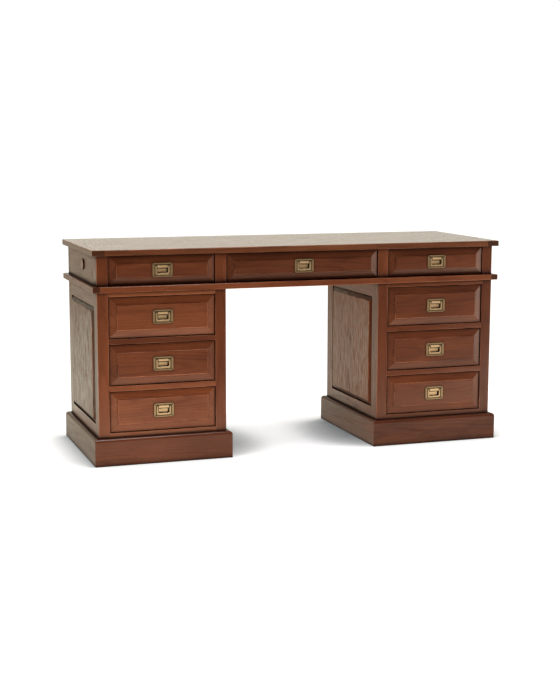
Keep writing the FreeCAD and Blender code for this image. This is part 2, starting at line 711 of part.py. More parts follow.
def build_drawers():
    plate = make_plate()
    bail = make_bail()
    side_drawer = make_drawer(OPENING_WIDTH, FRIEZE_HEIGHT)
    centre_drawer = make_drawer(2 * CENTRE_OPENING_HALF, FRIEZE_HEIGHT)
    deep_drawer = make_drawer(OPENING_WIDTH, PED_OPENING_HEIGHT)
    ped_x = (OPENING_INNER + OPENING_OUTER) / 2
    places = [
        ("top_left", side_drawer, FRIEZE_HEIGHT, -ped_x, WAIST_TOP),
        ("top_centre", centre_drawer, FRIEZE_HEIGHT, 0, WAIST_TOP),
        ("top_right", side_drawer, FRIEZE_HEIGHT, ped_x, WAIST_TOP),
    ]
    for label, x in (("left", -ped_x), ("right", ped_x)):
        for level, tier in enumerate(("lower", "middle", "upper")):
            places.append((label + "_" + tier, deep_drawer, PED_OPENING_HEIGHT, x, opening_floor(level)))
    for name, (front, box), height, x, z in places:
        handle_z = z + height / 2
        save("front_" + name, moved([front], x, 0, z))
        save("box_" + name, moved(box, x, 0, z))
        save("plate_" + name, moved([plate], x, FRONT_FIELD, handle_z))
        save("bail_" + name, moved([bail], x, FRONT_FIELD, handle_z))


os.makedirs("parts", exist_ok=True)
build_top_section()
build_pedestals()
build_drawers()
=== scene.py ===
"""Looks of a pedestal writing desk: boards with softened arrises and a grain of their own, antique brass
handles with screws, a pale floor, soft light and the camera. Metres, in the frame of the CAD model."""

import json
import math
import random

import bmesh
import bpy
import numpy as np
from mathutils import Matrix, Vector
from mathutils.bvhtree import BVHTree


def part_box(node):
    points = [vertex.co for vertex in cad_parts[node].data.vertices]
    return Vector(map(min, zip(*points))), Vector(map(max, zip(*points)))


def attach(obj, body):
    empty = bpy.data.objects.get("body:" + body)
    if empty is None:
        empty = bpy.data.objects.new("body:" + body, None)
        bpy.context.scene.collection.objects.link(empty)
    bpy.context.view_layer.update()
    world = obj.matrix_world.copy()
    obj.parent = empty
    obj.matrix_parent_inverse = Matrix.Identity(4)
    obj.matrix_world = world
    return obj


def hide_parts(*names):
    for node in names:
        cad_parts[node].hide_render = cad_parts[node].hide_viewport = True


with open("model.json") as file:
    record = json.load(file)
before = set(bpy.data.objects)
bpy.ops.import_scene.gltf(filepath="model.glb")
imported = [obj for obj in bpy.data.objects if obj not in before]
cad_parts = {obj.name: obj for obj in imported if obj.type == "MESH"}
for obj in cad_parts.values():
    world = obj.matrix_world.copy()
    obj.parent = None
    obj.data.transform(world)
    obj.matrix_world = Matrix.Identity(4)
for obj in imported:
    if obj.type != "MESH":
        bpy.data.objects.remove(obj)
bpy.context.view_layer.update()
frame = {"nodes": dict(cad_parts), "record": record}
BODY = {n: body for body, nodes in frame["record"]["behaviour"]["bodies"].items() for n in nodes}
SLOT = {part["node"]: part["material_slot"] for part in frame["record"]["subparts"]}
SEED = 20


def body_of(node):
    """The body that the node moves with."""
    return BODY[node]


# ---- the camera ----

CAMERA_PLACE = Vector((-1.776, -5.124, 1.187))
CAMERA_YAW = math.radians(19.12)
CAMERA_PITCH = math.radians(8.8)
CAMERA_ROLL = math.radians(-0.16)
FOCAL_PIXELS = 1398.0
IMAGE_LONG_SIDE = 700.0
SENSOR = 36.0
FAR_CLIP = 100


def make_camera():
    """Camera with the photograph's place, turn and focal length."""
    cos_p = math.cos(CAMERA_PITCH)
    ahead = Vector((math.sin(CAMERA_YAW) * cos_p, math.cos(CAMERA_YAW) * cos_p, -math.sin(CAMERA_PITCH)))
    level_right = Vector((math.cos(CAMERA_YAW), -math.sin(CAMERA_YAW), 0))
    level_down = ahead.cross(level_right)
    right = level_right * math.cos(CAMERA_ROLL) + level_down * math.sin(CAMERA_ROLL)
    down = level_down * math.cos(CAMERA_ROLL) - level_right * math.sin(CAMERA_ROLL)
    data = bpy.data.cameras.new("camera")
    data.lens = FOCAL_PIXELS / IMAGE_LONG_SIDE * SENSOR
    data.sensor_width = SENSOR
    data.clip_end = FAR_CLIP
    camera = bpy.data.objects.new("camera", data)
    turn = Matrix((right, -down, -ahead)).transposed().to_4x4()
    camera.matrix_world = Matrix.Translation(CAMERA_PLACE) @ turn
    bpy.context.collection.objects.link(camera)
    bpy.context.scene.camera = camera


# ---- node trees ----

class Nodes:
    """Short calls for adding and linking shader nodes. A value is a number or another node's output."""

    def __init__(self, tree):
        self.tree = tree
        tree.nodes.clear()

    def put(self, socket, value):
        """Link or set a socket; None leaves it as it is."""
        if isinstance(value, bpy.types.NodeSocket):
            self.tree.links.new(value, socket)
        elif value is not None:
            socket.default_value = value

    def add(self, kind, inputs=(), **settings):
        node = self.tree.nodes.new("ShaderNode" + kind)
        for name, value in settings.items():
            setattr(node, name, value)
        for name, value in dict(inputs).items():
            self.put(node.inputs[name], value)
        return node

    def attribute(self, name, output="Fac"):
        """What the mesh holds under this name."""
        return self.add("Attribute", attribute_name=name).outputs[output]

    def split(self, vector):
        return self.add("SeparateXYZ", {"Vector": vector}).outputs

    def open_air(self, reach, samples):
        """How open the surroundings are within this reach, from 0 in a closed gap to 1."""
        return self.add("AmbientOcclusion", {"Distance": reach}, samples=samples).outputs["AO"]

    def math(self, operation, a, b=None, c=None, clamp=False):
        node = self.add("Math", operation=operation, use_clamp=clamp)
        for i, value in enumerate((a, b, c)):
            self.put(node.inputs[i], value)
        return node.outputs[0]

    def plus(self, value, layer, share, clamp=False):
        """The value with this share of a layer added to it."""
        return self.math("MULTIPLY_ADD", layer, share, value, clamp)

    def centred(self, value):
        """A value from 0 to 1, moved so that its mean is 0."""
        return self.math("SUBTRACT", value, 0.5)

    def times(self, first, *others):
        for value in others:
            first = self.math("MULTIPLY", first, value)
        return first

    def largest(self, first, *others):
        for value in others:
            first = self.math("MAXIMUM", first, value)
        return first

    def vector(self, operation, a, b=None, output="Vector"):
        node = self.add("VectorMath", operation=operation)
        self.put(node.inputs[0], a)
        self.put(node.inputs[1], b)
        return node.outputs[output]

    def length(self, vector):
        return self.vector("LENGTH", vector, output="Value")

    def noise(self, place, cells, detail=2.0, roughness=0.5):
        """Noise from 0 to 1 with a mean of a half, with so many cells to a metre each way."""
        scaled = self.vector("MULTIPLY", place, cells)
        node = self.add("TexNoise", {"Vector": scaled, "Scale": 1.0, "Detail": detail,
                                     "Roughness": roughness})
        return node.outputs[0]

    def ramp(self, value, stops):
        """Colour ramp; a stop's value is a grey level or a colour."""
        node = self.add("ValToRGB", {"Fac": value})
        elements = node.color_ramp.elements
        while len(elements) < len(stops):
            elements.new(0.5)
        for element, (place, colour) in zip(elements, stops):
            element.position = place
            level = (colour,) * 3 if isinstance(colour, (int, float)) else colour
            element.color = (*level, 1)
        return node.outputs[0]

    def span(self, value, low, high, to_low=0.0, to_high=1.0):
        """Smooth step of a value from one range to another."""
        node = self.add("MapRange", {"Value": value, "From Min": low, "From Max": high, "To Min": to_low,
                                     "To Max": to_high}, interpolation_type="SMOOTHSTEP")
        return node.outputs[0]

    def mix(self, factor, a, b, blend="MIX"):
        """Mix of two colours. The node has its colours in the seventh and eighth sockets."""
        node = self.add("Mix", data_type="RGBA", blend_type=blend)
        self.put(node.inputs[0], factor)
        for socket, value in ((node.inputs[6], a), (node.inputs[7], b)):
            self.put(socket, value if isinstance(value, bpy.types.NodeSocket) else (*value, 1))
        return node.outputs[2]


def new_material(name):
    material = bpy.data.materials.new(name)
    material.use_nodes = True
    return material, Nodes(material.node_tree)


def shaded(colour, factor, lift=0.0):
    """A colour made darker or lighter."""
    return tuple(factor * c + lift for c in colour)


# ---- wood ----

# cells of each noise to a metre: along the grain, then across it both ways
WANDER_CELLS = (1.3, 8, 8)
RIPPLE_CELLS = (6, 60, 60)
CLOUD_CELLS = (4.5, 15, 15)
STREAK_CELLS = (5, 130, 130)
FIBRE_CELLS = (14, 420, 420)
VESSEL_CELLS = (70, 1900, 1900)
WEAR_CELLS = (10, 24, 24)
# detail of the noises that aren't plain, and its roughness
CLOUD_DETAIL = 3.0
VESSEL_DETAIL = 1.0
FINE_DETAIL = (3.0, 0.6)

# yearly rings: metres that they wander, rings that they ripple, and their darkness from one to the next
RING_WANDER = 0.035
RING_RIPPLE = 0.7
RING_PROFILE = ((0.0, 1.0), (0.10, 0.85), (0.34, 0.12), (0.7, 0.0), (0.93, 0.25), (1.0, 1.0))

# levels of noise between which vessels and flecks appear, and how far they keep to streaks and rings
VESSEL_LEVELS = (0.46, 0.60)
VESSELS_BY_STREAK = (0.35, 0.65, 0.3, 1.0)
VESSELS_BY_RING = 0.55
FLECK_LEVELS = (0.42, 0.58)
FLECKS_BY_RING = 0.4

# how far each layer shifts the stain, which runs from dark at 0 to light at 1
STAIN_STOPS = (0.05, 0.5, 0.95)
CLOUD_SHARE = 0.6
STREAK_SHARE = 0.4
FIBRE_SHARE = 0.35
RING_SHARE = -0.12
FLECK_SHARE = -0.06
TONE_AND_SHADING_SHARE = 0.12

# how strongly each thing covers the stain, and its colour: a SHADE or a DARK is a factor of the dark
# stain, and a
# LIFT is added to a multiple of the light stain; the painted shade and the painted highlight are among
# them
PORES_COVER = 0.45
PORES_SHADE = 0.35
WEAR_AND_HIGHLIGHT_COVER = 0.85
WEAR_AND_HIGHLIGHT_LIFT = 0.05
END_COVER = 0.7
END_SHADE = 0.5
PAINTED_SHADE_COVER = 0.82
PAINTED_SHADE_DARK = 0.25
GAP_SHADE_COLOUR = (0.003, 0.0015, 0.001)

# reach of the two looks at the surroundings, and the openness from which to which each thing shows, the
# painted shade in corners and gaps among them; rubbing, with its painted highlight, also comes in patches,
# by levels of noise
NEAR_REACH = 0.011
CORNER_REACH = 0.028
WOOD_SAMPLES = 6
WEAR_LEVELS = (0.32, 0.62)
WEAR_AND_HIGHLIGHT_WHERE = (0.70, 0.90)
# painted shade where the surroundings close in: in corners, near other surfaces, and near black in deep
# gaps
CORNER_SHADE_WHERE = (0.92, 0.45)
NEAR_SHADE_WHERE = (0.97, 0.70)
GAP_SHADE_WHERE = (0.62, 0.35)

# the lacquer and the wood under it
LACQUER_ROUGHNESS = 0.18
LACQUER_IOR = 1.5
LACQUER_WEIGHT = 0.9
WOOD_IOR = 1.5
WOOD_SPECULAR = 0.15
ROUGHER_IN_PORES = 0.3
ROUGHER_IN_STREAKS = 0.2
COAT_LOST_IN_PORES = -0.4
# less lacquer where the painted shade of corners and gaps lies
COAT_LOST_IN_PAINTED_SHADE = -0.8
PORE_DEPTH = -0.9
FIBRE_HEIGHT = 0.35
WOOD_BUMP = {"Strength": 0.5, "Distance": 0.0001}


def growth_rings(n, log, ring_gap, taper):
    """Darkness of the yearly rings, from 0 to 1, round the heart of a log that tapers and isn't quite
    round."""
    across = n.length(n.vector("MULTIPLY", log, (0, 1, 1)))
    radius = n.plus(across, n.centred(n.noise(log, WANDER_CELLS)), RING_WANDER)
    radius = n.plus(radius, n.split(log)["X"], taper)
    ripple = n.centred(n.noise(log, RIPPLE_CELLS))
    phase = n.plus(n.math("DIVIDE", radius, ring_gap), ripple, RING_RIPPLE)
    return n.ramp(n.math("FRACT", phase), RING_PROFILE)


def open_vessels(n, log, streak, ring, pores):
    """Open vessels of the wood, from 0 to 1, most of them in streaks and in the dark of the rings."""
    vessels = n.span(n.noise(log, VESSEL_CELLS, VESSEL_DETAIL), *VESSEL_LEVELS)
    in_ring = n.plus(1 - VESSELS_BY_RING, ring, VESSELS_BY_RING)
    return n.times(vessels, n.span(streak, *VESSELS_BY_STREAK), in_ring, pores)


def coarse_flecks(n, log, ring, fleck, fleck_length):
    """Coarse figure of the wood, from 0 to 1, as strong as the board's figure attribute tells."""
    flecks = n.noise(log, (fleck / fleck_length, fleck, fleck))
    in_ring = n.plus(1 - FLECKS_BY_RING, ring, FLECKS_BY_RING)
    return n.times(n.span(flecks, *FLECK_LEVELS), in_ring, n.attribute("figure"))


def worn_and_waxed(n, log, colour, dark, light, wear_and_highlight_gain):
    """The colour after long use, with painted light and shade, and how thick the painted shade lies:
    arrises rubbed pale, partly as wear and partly as a painted highlight; end grain dark with stain;
    painted shade in the corners; and painted shade, near black, in deep gaps."""
    near = n.open_air(NEAR_REACH, WOOD_SAMPLES)
    # arrises made pale where open: partly wear, partly a painted highlight
    patches = n.span(n.noise(log, WEAR_CELLS), *WEAR_LEVELS)
    worn_and_lit = n.times(n.attribute("arris"), patches, n.span(near, *WEAR_AND_HIGHLIGHT_WHERE))
    colour = n.mix(n.times(worn_and_lit, WEAR_AND_HIGHLIGHT_COVER), colour, shaded(light, wear_and_highlight_gain, WEAR_AND_HIGHLIGHT_LIFT))
    colour = n.mix(n.times(n.attribute("end"), END_COVER), colour, shaded(dark, END_SHADE))
    # painted shade in corners and near other surfaces
    corner = n.span(n.open_air(CORNER_REACH, WOOD_SAMPLES), *CORNER_SHADE_WHERE)
    painted_shade = n.largest(corner, n.span(near, *NEAR_SHADE_WHERE))
    colour = n.mix(n.times(painted_shade, PAINTED_SHADE_COVER), colour, shaded(dark, PAINTED_SHADE_DARK))
    # painted shade, near black, in deep gaps
    return n.mix(n.span(near, *GAP_SHADE_WHERE), colour, GAP_SHADE_COLOUR), painted_shade


def wood_material(name, dark, mid, light, ring_gap=0.006, contrast=1.0, roughness=0.45, pores=1.0,
                  lacquer=1.0, figure=0.5, fleck=240, fleck_length=14, taper=0.012, wear_and_highlight_gain=1.8):
    """Stained open-grained wood under lacquer. The grain attribute holds a place inside the log: x along
    it, and y and z from its heart. A per-face attribute shifts each board a little, by its own tone and,
    on some boards and on the panels' bevels, by painted light and shade. Rings lie ring_gap metres apart,
    and the coarse figure has fleck cells to a metre across the grain, each fleck_length times as long as
    it is wide."""
    material, n = new_material(name)
    log = n.attribute("grain", "Vector")
    ring = growth_rings(n, log, ring_gap, taper)
    fibre = n.noise(log, FIBRE_CELLS, *FINE_DETAIL)
    streak = n.noise(log, STREAK_CELLS, *FINE_DETAIL)
    cloud = n.noise(log, CLOUD_CELLS, CLOUD_DETAIL)
    vessels = open_vessels(n, log, streak, ring, pores)
    coarse = coarse_flecks(n, log, ring, fleck, fleck_length)

    level = n.plus(0.5, n.centred(cloud), CLOUD_SHARE * contrast)
    level = n.plus(level, n.centred(streak), STREAK_SHARE * contrast)
    level = n.plus(level, n.centred(fibre), FIBRE_SHARE * contrast)
    level = n.plus(level, ring, RING_SHARE * contrast)
    level = n.plus(level, coarse, FLECK_SHARE * figure)
    # each board's own tone, with painted light and shade on some boards and on the panels' bevels
    level = n.plus(level, n.attribute("tone_and_shading"), TONE_AND_SHADING_SHARE)
    colour = n.ramp(level, tuple(zip(STAIN_STOPS, (dark, mid, light))))
    colour = n.mix(n.times(vessels, PORES_COVER), colour, shaded(dark, PORES_SHADE))
    colour, painted_shade = worn_and_waxed(n, log, colour, dark, light, wear_and_highlight_gain)

    rough = n.plus(roughness, vessels, ROUGHER_IN_PORES)
    rough = n.plus(rough, n.centred(streak), ROUGHER_IN_STREAKS, clamp=True)
    coat = n.plus(1.0, vessels, COAT_LOST_IN_PORES)
    coat = n.plus(coat, coarse, -figure)
    coat = n.plus(coat, painted_shade, COAT_LOST_IN_PAINTED_SHADE, clamp=True)
    height = n.plus(n.times(fibre, FIBRE_HEIGHT), vessels, PORE_DEPTH)
    bump = n.add("Bump", {"Height": height, **WOOD_BUMP}).outputs[0]
    shader = n.add("BsdfPrincipled", {"Base Color": colour, "Roughness": rough, "IOR": WOOD_IOR,
                                      "Specular IOR Level": WOOD_SPECULAR,
                                      "Coat Weight": n.times(coat, LACQUER_WEIGHT * lacquer),
                                      "Coat Roughness": LACQUER_ROUGHNESS, "Coat IOR": LACQUER_IOR,
                                      "Coat Normal": bump, "Normal": bump})
    n.add("OutputMaterial", {"Surface": shader.outputs[0]})
    return material


# dark, mid and light stain of each kind of board, and what sets its grain apart
WOODS = {
    "desktop_wood": dict(dark=(0.080, 0.018, 0.0055), mid=(0.175, 0.049, 0.0175),
                         light=(0.30, 0.102, 0.042), ring_gap=0.009, figure=0.2),
    "case_wood": dict(dark=(0.075, 0.014, 0.004), mid=(0.185, 0.042, 0.0125),
                      light=(0.32, 0.095, 0.036), contrast=0.7, figure=0.42),
    # the fronts' arrises get the strongest painted highlight
    "front_wood": dict(dark=(0.082, 0.017, 0.005), mid=(0.180, 0.042, 0.0135),
                       light=(0.28, 0.078, 0.028), contrast=1.1, figure=0.3, wear_and_highlight_gain=2.7),
    "panel_wood": dict(dark=(0.070, 0.015, 0.0045), mid=(0.17, 0.044, 0.014),
                       light=(0.28, 0.090, 0.034), ring_gap=0.017, contrast=0.7, figure=0.9,
                       fleck=170, fleck_length=8, taper=0.07, wear_and_highlight_gain=1.3),
    "cap_wood": dict(dark=(0.15, 0.045, 0.018), mid=(0.30, 0.11, 0.052),
                     light=(0.42, 0.18, 0.09), figure=0.1),
    "drawer_wood": dict(dark=(0.33, 0.19, 0.10), mid=(0.50, 0.33, 0.19),
                        light=(0.62, 0.44, 0.27), contrast=0.7, roughness=0.6, pores=0.5, lacquer=0.0),
}


# ---- brass ----

# outlines on a handle plate, from its middle: the bail's channel, the land and the finger pan inside it
CHANNEL_MIDDLE = (0, 0, -0.0005)
CHANNEL_HALF = (0.0271, 1, 0.0185)
LAND_MIDDLE = (0, 0, 0.01225)
LAND_HALF = (0.0203, 1, 0.00575)
PAN_MIDDLE = (0, 0, -0.00325)
PAN_HALF = (0.0203, 1, 0.00975)

# tarnish and painted shadow along them: from where to where it comes up and then fades, in metres outside
# the outline
EDGE_FADE = (0.0004, 0.0001)
TARNISH_AND_SHADOW = ((CHANNEL_MIDDLE, CHANNEL_HALF, (-0.0006, 0.0), (0.0034, 0.0012)),
           (LAND_MIDDLE, LAND_HALF, (-0.0026, -0.0012), EDGE_FADE),
           (PAN_MIDDLE, PAN_HALF, (-0.0050, -0.0022), EDGE_FADE))

# cells of its two noises to a metre, and the mottle's detail and roughness
MOTTLE_CELLS = (160, 160, 160)
MOTTLE_DETAIL = (4.0, 0.6)
GRIT_CELLS = (900, 900, 900)
# what counts as a recess, and how tarnish with painted shadow, rubbing with painted light in the pans, and
# stain follow the mottle and each other
RECESS_REACH = 0.004
RECESS_SAMPLES = 8
RECESS_WHERE = (0.8, 0.45)
TARNISH_AND_SHADOW_BY_MOTTLE = (0.30, 0.50, 0.75, 1.0)
RUBBED_OFF_DIRT_AND_SHADOW = (0.8, 0.3)
RUBBED_BY_MOTTLE = (0.66, 0.44, 0.72, 1.0)
STAIN_BY_MOTTLE = 0.9
STAIN_COVER = 0.9
# a higher value makes the finger pans too dark from the front
BRASS_METALLIC = 0.45
ROUGHER_IN_STAIN = 0.25
ROUGHER_BY_GRIT = 0.12
MOTTLE_HEIGHT = 0.6
BRASS_BUMP = {"Strength": 0.35, "Distance": 0.0001}


def box_distance(n, spot, middle, half):
    """Distance of a spot on the plate from a rectangle's outline, below zero inside it."""
    past = n.vector("SUBTRACT", n.vector("ABSOLUTE", n.vector("SUBTRACT", spot, middle)), half)
    outside = n.length(n.vector("MAXIMUM", past, (0, 0, 0)))
    sides = n.split(past)
    inside = n.math("MINIMUM", n.largest(sides["X"], sides["Z"]), 0.0)
    return n.math("ADD", outside, inside)


def tarnish_band(n, spot, middle, half, comes_up, fades):
    """Band of tarnish and painted shadow along a rectangle's outline."""
    distance = box_distance(n, spot, middle, half)
    return n.times(n.span(distance, *comes_up), n.span(distance, *fades))


def brass_material(name, bright, dull, patina, roughness):
    """Cast brass, near black in its recesses with patina and along the outlines on the plate with tarnish
    and painted shadow, and rubbed bright where fingers reach, in the finger pans also as painted light.
    The spot attribute is a place on the plate, from its middle."""
    material, n = new_material(name)
    place = n.add("TexCoord").outputs["Object"]
    spot = n.attribute("spot", "Vector")
    mottle = n.noise(place, MOTTLE_CELLS, *MOTTLE_DETAIL)
    grit = n.noise(place, GRIT_CELLS)
    recess = n.span(n.open_air(RECESS_REACH, RECESS_SAMPLES), *RECESS_WHERE)
    # tarnish and painted shadow along the outlines of channel, land and pan
    tarnish_and_shadow = n.largest(*(tarnish_band(n, spot, *outline) for outline in TARNISH_AND_SHADOW))
    tarnish_and_shadow = n.times(tarnish_and_shadow, n.span(mottle, *TARNISH_AND_SHADOW_BY_MOTTLE))
    dirt_and_shadow = n.largest(recess, tarnish_and_shadow)
    stained = n.plus(dirt_and_shadow, n.centred(mottle), STAIN_BY_MOTTLE, clamp=True)
    worn_and_lit = n.times(n.attribute("arris"), n.span(dirt_and_shadow, *RUBBED_OFF_DIRT_AND_SHADOW),
                     n.span(mottle, *RUBBED_BY_MOTTLE))
    colour = n.mix(n.times(stained, STAIN_COVER), dull, patina)
    colour = n.mix(worn_and_lit, colour, bright)
    rough = n.plus(n.plus(roughness, grit, ROUGHER_BY_GRIT), stained, ROUGHER_IN_STAIN)
    bump = n.add("Bump", {"Height": n.plus(grit, mottle, MOTTLE_HEIGHT), **BRASS_BUMP}).outputs[0]
    shader = n.add("BsdfPrincipled", {"Base Color": colour, "Roughness": rough,
                                      "Metallic": BRASS_METALLIC, "Normal": bump})
    n.add("OutputMaterial", {"Surface": shader.outputs[0]})
    return material


MATERIALS = {name: wood_material(name, **look) for name, look in WOODS.items()}
MATERIALS["brass"] = brass_material("brass", bright=(1.0, 0.67, 0.39), dull=(0.42, 0.27, 0.145),
                                    patina=(0.014, 0.009, 0.005), roughness=0.24)
SCREW_BRASS = brass_material("screw_brass", bright=(0.30, 0.19, 0.10), dull=(0.12, 0.075, 0.04),
                             patina=(0.02, 0.012, 0.006), roughness=0.28)


# ---- boards out of the frame's nodes ----

# how far arrises are softened, by the start of the node's name
ARRISES = {"plate_": 0.0004, "bail_": 0.0008, "front_": 0.0012, "box_": 0.0008}
BOARD_ARRIS = 0.0009
BOARD_SEGMENTS = 2
BAIL_SEGMENTS = 3
ROUND_PROFILE = 0.5

# points that round to the same step of WELD are one, and solids nearer than CONTACT lie against each other
WELD = 1e-6
CONTACT = 0.00006
# edges that bend less than FLAT_BELOW go, those above SHARP_ARRIS are softened where they lie free, and
# those below SMOOTH_BELOW shade smoothly
FLAT_BELOW = math.radians(0.4)
SHARP_ARRIS = math.radians(40)
SMOOTH_BELOW = math.radians(12)
FLATS_WEIGHT = 100

# where the heart of a board's log lies from the board: how far along it the board may start, how far to
# one side as a share of the board's width, and how far below the middle of its thickness
LOG_LENGTH = 40
HEART_ASIDE = 0.35
HEART_DEPTH = (0.05, 0.12)

# parts of a face's normal: above END_GRAIN along the grain it shows end grain, and a panel's face with
# none above LEVEL slopes, as its bevel does, and is darker: painted shade on the panels' bevels
END_GRAIN = 0.8
LEVEL = 0.995
PANEL_BEVEL_SHADE = -3.5

# how far fingers have polished each part of a handle; the pan's value is partly painted light for its
# shaded recess
BAIL_POLISH = 0.5
LAND_POLISH = 0.85
PAN_POLISH_AND_LIGHT = 1.0

# boards lighter or darker than their neighbours, by the node and the solid's place in it: partly their own
# tone and partly painted light and shade
TONES_AND_SHADING = {"front_left_upper": [1.3], "front_left_middle": [-0.4], "front_left_lower": [1.1],
         "front_top_left": [-0.1], "front_top_centre": [-0.8], "front_top_right": [0.0],
         "front_right_upper": [-0.5], "front_right_middle": [-0.8], "front_right_lower": [-0.3],
         "left_face_frame": [0.2, -0.8, 2.2, 1.2, -2.0, 4.0],
         "right_face_frame": [-1.6, -0.9, -0.8, -0.8, -0.8, 0.8],
         "left_plinth": [-1.7, -0.8, 0.0, -0.5], "right_plinth": [-2.4, 0.0, 0.0, -1.4],
         "right_side_panels": [0.8, 2.2], "desktop": [0.3, -0.8, 0.7], "waist_board": [0.8, 0.0, 0.0]}
# boards of plainer timber than the rest of their kind
FIGURES = {"frieze_ends": 0.35, "frieze_back": 0.5}


def solids_of(node):
    """The node's closed solids, each as (points, triangles). A solid ends where its surface closes."""
    mesh = frame["nodes"][node].data
    places = [tuple(int(round(value / WELD)) for value in v.co) for v in mesh.vertices]
    solids = []
    points, index, triangles, open_edges = [], {}, [], set()
    for polygon in mesh.polygons:
        corners = []
        for vertex in polygon.vertices:
            key = places[vertex]
            if key not in index:
                index[key] = len(points)
                points.append(mesh.vertices[vertex].co.copy())
            corners.append(index[key])
        if len(set(corners)) < 3:
            continue
        triangles.append(corners)
        for a, b in zip(corners, corners[1:] + corners[:1]):
            if (b, a) in open_edges:
                open_edges.remove((b, a))
            else:
                open_edges.add((a, b))
        if not open_edges:
            solids.append((points, triangles))
            points, index, triangles, open_edges = [], {}, [], set()
    if triangles:
        solids.append((points, triangles))
    return solids


ALL_SOLIDS = {node: solids_of(node) for node in sorted(frame["nodes"])}


def surroundings():
    """One search tree over every solid's triangles, and the solid that each triangle belongs to."""
    points, triangles, owner = [], [], []
    for node, solids in ALL_SOLIDS.items():
        for number, (own_points, own_triangles) in enumerate(solids):
            base = len(points)
            points += own_points
            triangles += [[base + i for i in t] for t in own_triangles]
            owner += [(node, number)] * len(own_triangles)
    return BVHTree.FromPolygons(points, triangles), owner


SEARCH, OWNER = surroundings()


def touches_neighbour(edge, owner):
    """True if another solid lies against the middle of this edge."""
    middle = (edge.verts[0].co + edge.verts[1].co) / 2
    return any(OWNER[hit[2]] != owner for hit in SEARCH.find_nearest_range(middle, CONTACT))


def log_place(points, chance):
    """Function from a point of a board to its place in a log, and the way the grain runs: the longest
    way of the board lies along the grain, and the heart of the log is below one of its faces."""
    low = Vector([min(p[i] for p in points) for i in range(3)])
    high = Vector([max(p[i] for p in points) for i in range(3)])
    size = high - low
    order = sorted(range(3), key=lambda i: -size[i])
    middle = (low + high) / 2
    start = chance.uniform(0, LOG_LENGTH)
    aside = chance.uniform(-HEART_ASIDE, HEART_ASIDE) * size[order[1]]
    depth = chance.uniform(*HEART_DEPTH)

    def place(p):
        away = p - middle
        return (start + away[order[0]], aside + away[order[1]], depth + away[order[2]])

    return place, order[0]


def dressed_solid(node, number, arris, segments):
    """One solid as a mesh with softened arrises where nothing lies against them."""
    points, triangles = ALL_SOLIDS[node][number]
    bm = bmesh.new()
    worn = bm.faces.layers.float.new("arris")
    verts = [bm.verts.new(p) for p in points]
    for corners in triangles:
        bm.faces.new([verts[i] for i in corners])
    bmesh.ops.dissolve_limit(bm, angle_limit=FLAT_BELOW, verts=bm.verts, edges=bm.edges)
    bm.normal_update()
    free = [e for e in bm.edges if len(e.link_faces) == 2 and e.calc_face_angle(0) > SHARP_ARRIS
            and not touches_neighbour(e, (node, number))]
    if free:
        made = bmesh.ops.bevel(bm, geom=free, offset=arris, segments=segments, profile=ROUND_PROFILE,
                               affect="EDGES", clamp_overlap=True)
        for face in made["faces"]:
            face[worn] = 1.0
    bmesh.ops.triangulate(bm, faces=[f for f in bm.faces if len(f.verts) > 4])
    for edge in bm.edges:
        edge.smooth = (any(face[worn] for face in edge.link_faces)
                       or edge.calc_face_angle(math.pi) < SMOOTH_BELOW)
    return bm


def keep_by_face(mesh, name, values):
    mesh.attributes.new(name, "FLOAT", "FACE").data.foreach_set("value", np.array(values, np.float32))


def keep_by_corner(mesh, name, places):
    mesh.attributes.new(name, "FLOAT_VECTOR", "CORNER").data.foreach_set(
        "vector", np.array(places, np.float32).ravel())


def dressed_mesh(node, arris, segments):
    """The node's dressed solids in one mesh, with the grain, tone with painted light and shade, end and
    figure that its wood reads.
    """
    chance = random.Random(node + str(SEED))
    joined = bmesh.new()
    grain, tones_and_shading, ends = [], [], []
    for number, (points, _) in enumerate(ALL_SOLIDS[node]):
        bm = dressed_solid(node, number, arris, segments)
        place, grain_way = log_place(points, chance)
        tone_and_shading = chance.uniform(-1, 1)
        if number < len(TONES_AND_SHADING.get(node, ())):
            tone_and_shading = TONES_AND_SHADING[node][number]
        part = bpy.data.meshes.new("part")
        bm.to_mesh(part)
        bm.free()
        joined.from_mesh(part)
        for polygon in part.polygons:
            # a panel's bevel gets painted shade added to its tone
            is_bevel = "_panel" in node and max(abs(v) for v in polygon.normal) < LEVEL
            tones_and_shading.append(tone_and_shading + PANEL_BEVEL_SHADE if is_bevel else tone_and_shading)
            ends.append(float(abs(polygon.normal[grain_way]) > END_GRAIN))
            grain += [place(part.vertices[v].co) for v in polygon.vertices]
        bpy.data.meshes.remove(part)
    mesh = bpy.data.meshes.new(node + "_finished")
    joined.to_mesh(mesh)
    joined.free()
    keep_by_corner(mesh, "grain", grain)
    keep_by_face(mesh, "tone_and_shading", tones_and_shading)
    keep_by_face(mesh, "end", ends)
    keep_by_face(mesh, "figure", [FIGURES.get(node, 1.0)] * len(ends))
    return mesh


def rub_brass(mesh, node):
    """Fingers polish the whole bail, and on the plate the land and the pan that it lies round; the pan's
    polish is partly painted light that its recess doesn't get. The plate also gets its spot attribute."""
    worn_and_lit = mesh.attributes["arris"].data
    if node.startswith("bail_"):
        worn_and_lit.foreach_set("value", [BAIL_POLISH] * len(mesh.polygons))
        return
    low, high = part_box(node)
    middle = (low + high) / 2
    pan_top = PAN_MIDDLE[2] + PAN_HALF[2]
    for polygon in mesh.polygons:
        away = polygon.center - middle
        if max(abs(away.x), abs(away.z)) < LAND_HALF[0]:
            # the pan is made brightest, partly as painted light for its shaded recess
            worn_and_lit[polygon.index].value = LAND_POLISH if away.z > pan_top else PAN_POLISH_AND_LIGHT
    keep_by_corner(mesh, "spot", [tuple(mesh.vertices[loop.vertex_index].co - middle)
                                  for loop in mesh.loops])


